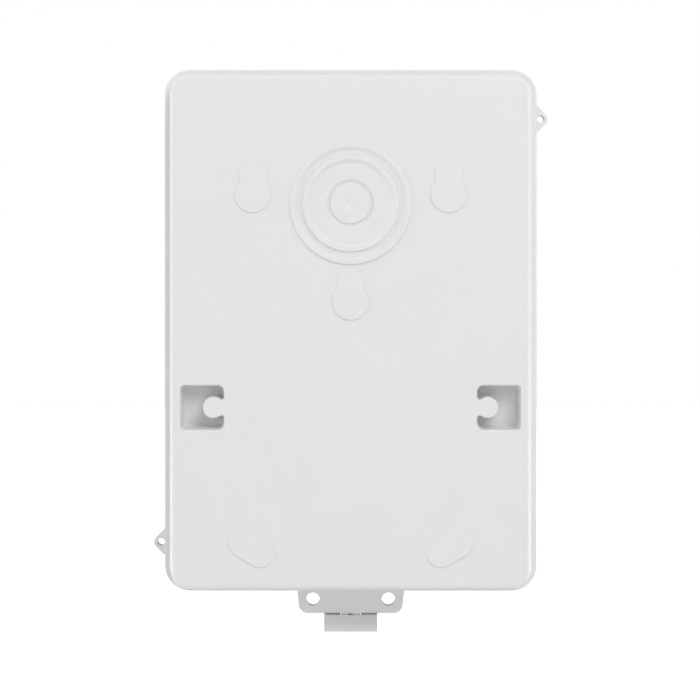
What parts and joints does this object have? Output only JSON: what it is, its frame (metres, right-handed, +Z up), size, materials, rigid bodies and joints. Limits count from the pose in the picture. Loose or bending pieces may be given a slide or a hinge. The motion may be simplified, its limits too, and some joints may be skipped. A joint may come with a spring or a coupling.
{
  "type": "consumer unit enclosure",
  "caption": "Weatherproof wall-mounted plastic enclosure for circuit breakers, with a drafted rear shell, a top-hinged lid with a window, a bottom clasp, a rail and terminal bars.",
  "frame": {"origin": "centre of the flat back face, which lies against the wall", "axes": "+Y out of the back face towards the wall, -Y towards the lid, +Z up, +X to the right seen from the front"},
  "size_m": [0.2116, 0.1119, 0.3024],
  "materials": {
    "shell_plastic": "satin moulded ABS, light grey-white",
    "clasp_plastic": "satin moulded nylon, light grey-white",
    "mask_plastic": "satin moulded ABS, white",
    "window_plastic": "polished smoked polycarbonate",
    "seal_rubber": "matt black rubber",
    "rail_steel": "zinc-plated strip",
    "zinc_steel": "bright zinc-plated",
    "bar_brass": "drawn brass",
    "earth_plastic": "moulded nylon, green",
    "neutral_plastic": "moulded nylon, blue"
  },
  "bodies": {
    "base": {"rear_shell": "shell_plastic", "lid_seal": "seal_rubber", "din_rail": "rail_steel", "rail_washers": "zinc_steel", "rail_screws": "zinc_steel", "module_mask": "mask_plastic", "mask_screws": "zinc_steel", "holder_screws": "zinc_steel", "earth_bar": "bar_brass", "earth_bar_holder": "earth_plastic", "earth_terminal_screws": "zinc_steel", "neutral_bar": "bar_brass", "neutral_bar_holder": "neutral_plastic", "neutral_terminal_screws": "zinc_steel"},
    "lid": {"front_lid": "shell_plastic", "hinge_pins": "zinc_steel", "window_seal": "seal_rubber", "window_panel": "window_plastic"},
    "latch": {"latch_clasp": "clasp_plastic", "latch_pin": "zinc_steel"}
  },
  "joints": [
    {"name": "lid_hinge", "type": "hinge", "parent": "base", "child": "lid", "pos_m": [0, -0.0635, 0.138], "axis": [-1, 0, 0], "range_deg": [0, 100]},
    {"name": "latch_hinge", "type": "hinge", "parent": "base", "child": "latch", "pos_m": [0, -0.058, -0.1548], "axis": [-1, 0, 0], "range_deg": [0, 90]}
  ]
}
